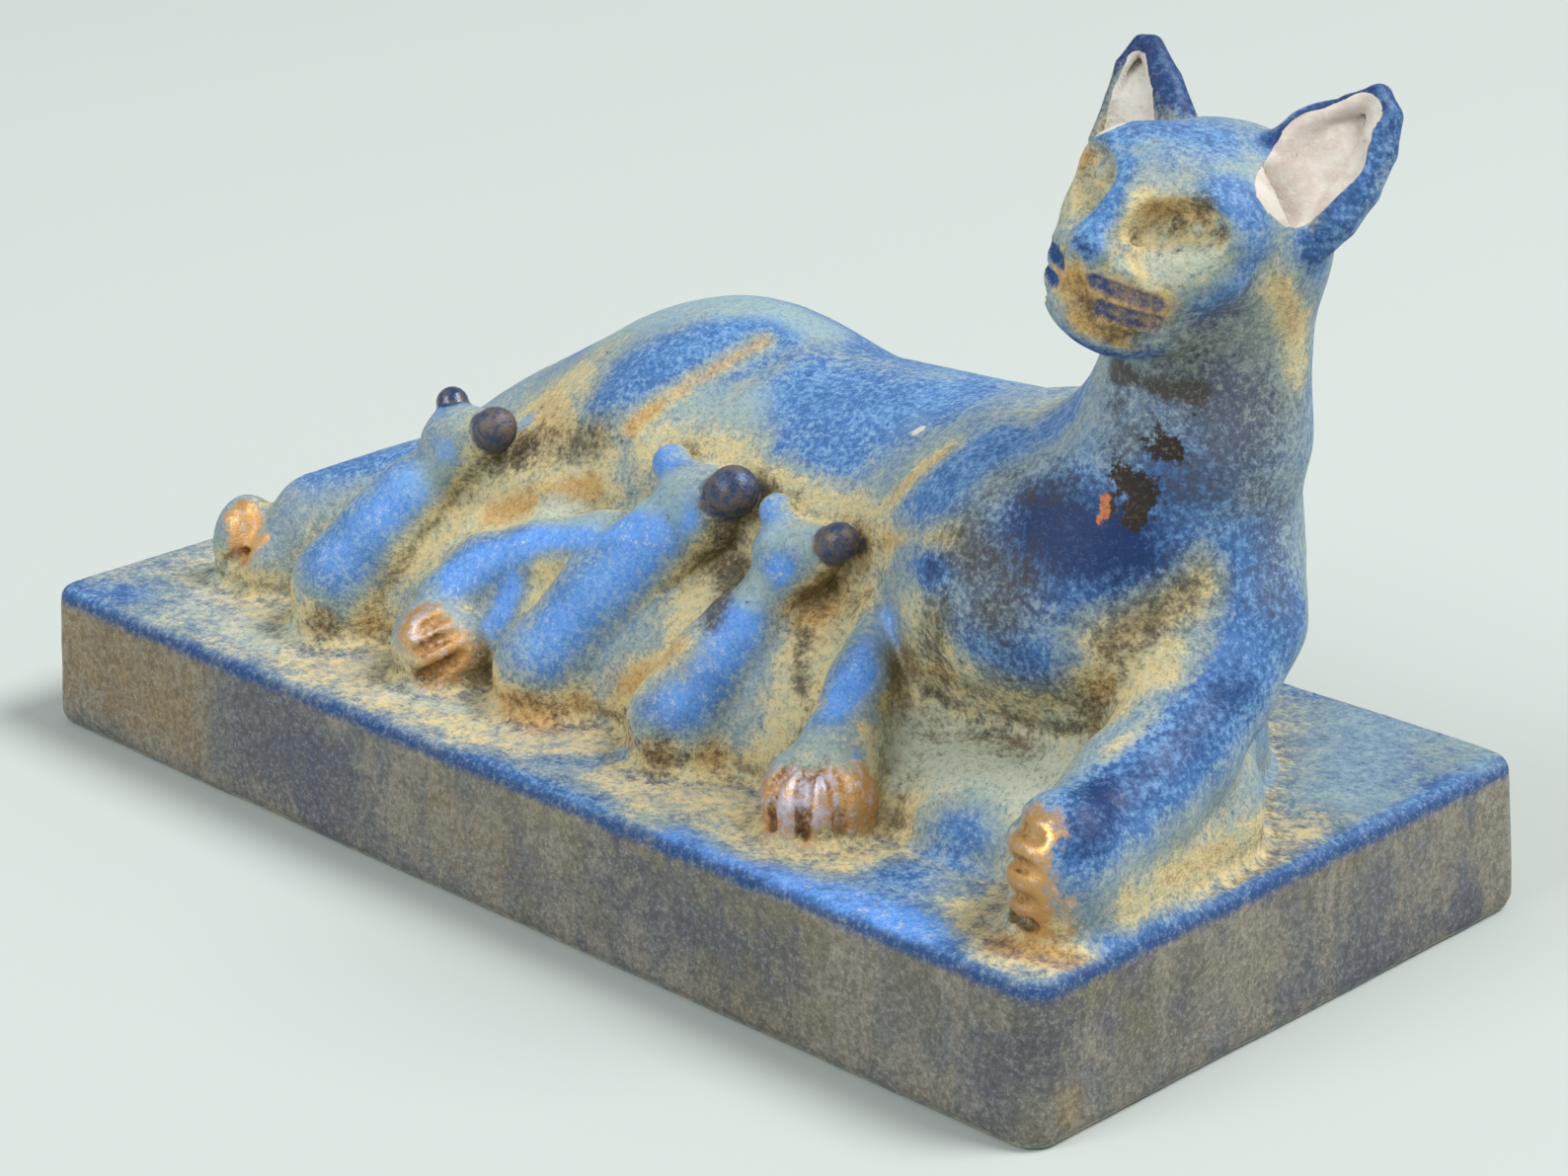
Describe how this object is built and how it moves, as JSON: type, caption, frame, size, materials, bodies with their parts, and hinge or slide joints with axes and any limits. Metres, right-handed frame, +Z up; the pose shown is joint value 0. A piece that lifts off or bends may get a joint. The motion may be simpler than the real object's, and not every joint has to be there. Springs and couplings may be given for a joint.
{
  "type": "bastet cat statuette",
  "caption": "Painted stone statuette of a reclining cat nursing kittens on a rectangular plinth, with gilded paws and silvered ears.",
  "frame": {"origin": "middle of the plinth's flat underside", "axes": "+X along the plinth towards the cat's head, +Y towards the cat's back, +Z up; the cat looks towards -Y, the side of the kittens"},
  "size_m": [0.1816, 0.0887, 0.1077],
  "materials": {
    "painted_stone": "worn matt paint, cobalt blue over ochre, with gilded paws, silvered ears and a bare taupe plinth"
  },
  "bodies": {
    "root": {"statuette": "painted_stone"}
  },
  "joints": []
}
